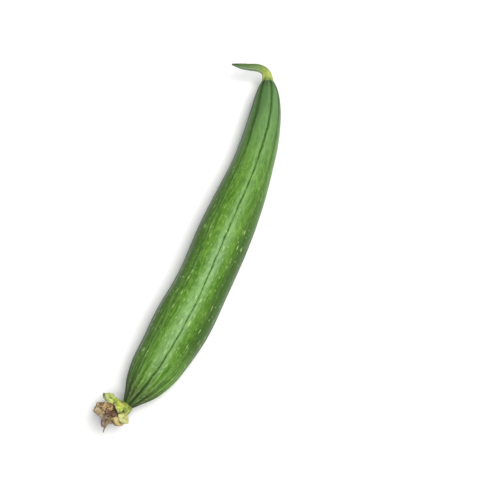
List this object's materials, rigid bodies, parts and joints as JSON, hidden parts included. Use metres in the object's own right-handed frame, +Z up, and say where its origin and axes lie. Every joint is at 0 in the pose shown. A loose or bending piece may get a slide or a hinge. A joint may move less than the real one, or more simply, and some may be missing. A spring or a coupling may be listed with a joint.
{
  "type": "sponge gourd",
  "caption": "Slender, slightly bowed green sponge gourd with shallow lengthwise furrows, a curled stalk and its withered flower, lying on its belly.",
  "frame": {"origin": "on the surface the gourd lies on, under the middle of its bounding box", "axes": "+X along the gourd from the withered flower to the stalk, +Z up, -Y towards the outer side of its bow"},
  "size_m": [0.3214, 0.0706, 0.0422],
  "materials": {
    "fruit_skin": "fresh green skin, satin, with pale flecks and fine dark furrow lines",
    "stalk_skin": "fresh ribbed stalk, yellow at the foot and green further on, satin",
    "calyx_skin": "thin yellow-green sepals, matte",
    "withered_petal": "dried, wrinkled tan and brown petals, matte"
  },
  "bodies": {
    "root": {"fruit": "fruit_skin", "stem": "stalk_skin", "calyx": "calyx_skin", "withered_flower": "withered_petal"}
  },
  "joints": []
}
